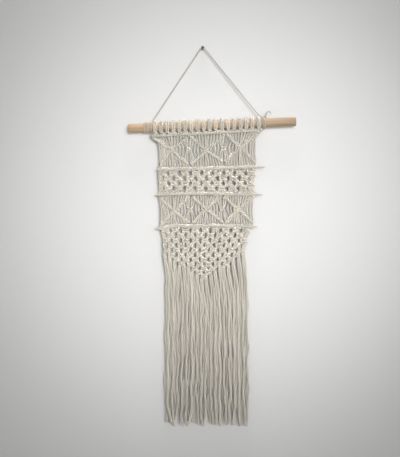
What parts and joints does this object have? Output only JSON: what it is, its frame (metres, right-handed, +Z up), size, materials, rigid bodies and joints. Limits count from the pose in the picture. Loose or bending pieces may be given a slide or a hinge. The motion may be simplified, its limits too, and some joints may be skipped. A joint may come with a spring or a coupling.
{
  "type": "macrame wall hanging with wooden rod, hanging cord and wall nail",
  "caption": "Long macrame wall hanging of cream cotton cord on a wooden rod, with bands of diagonal bars, nets of square knots and a V-topped fringe, hung by a thin cord from a nail.",
  "frame": {"origin": "middle of the nail's flat back end, on the wall plane", "axes": "+Z up, +Y into the wall, +X to the right as seen from the front"},
  "size_m": [0.3354, 0.0285, 0.755],
  "materials": {
    "cotton": "matt",
    "wood": "satin",
    "nail": "satin"
  },
  "bodies": {
    "root": {"wooden_rod": "wood", "wall_nail": "nail", "hanging_cord": "cotton", "knotted_panel": "cotton", "cord_fringe": "cotton"}
  },
  "joints": []
}
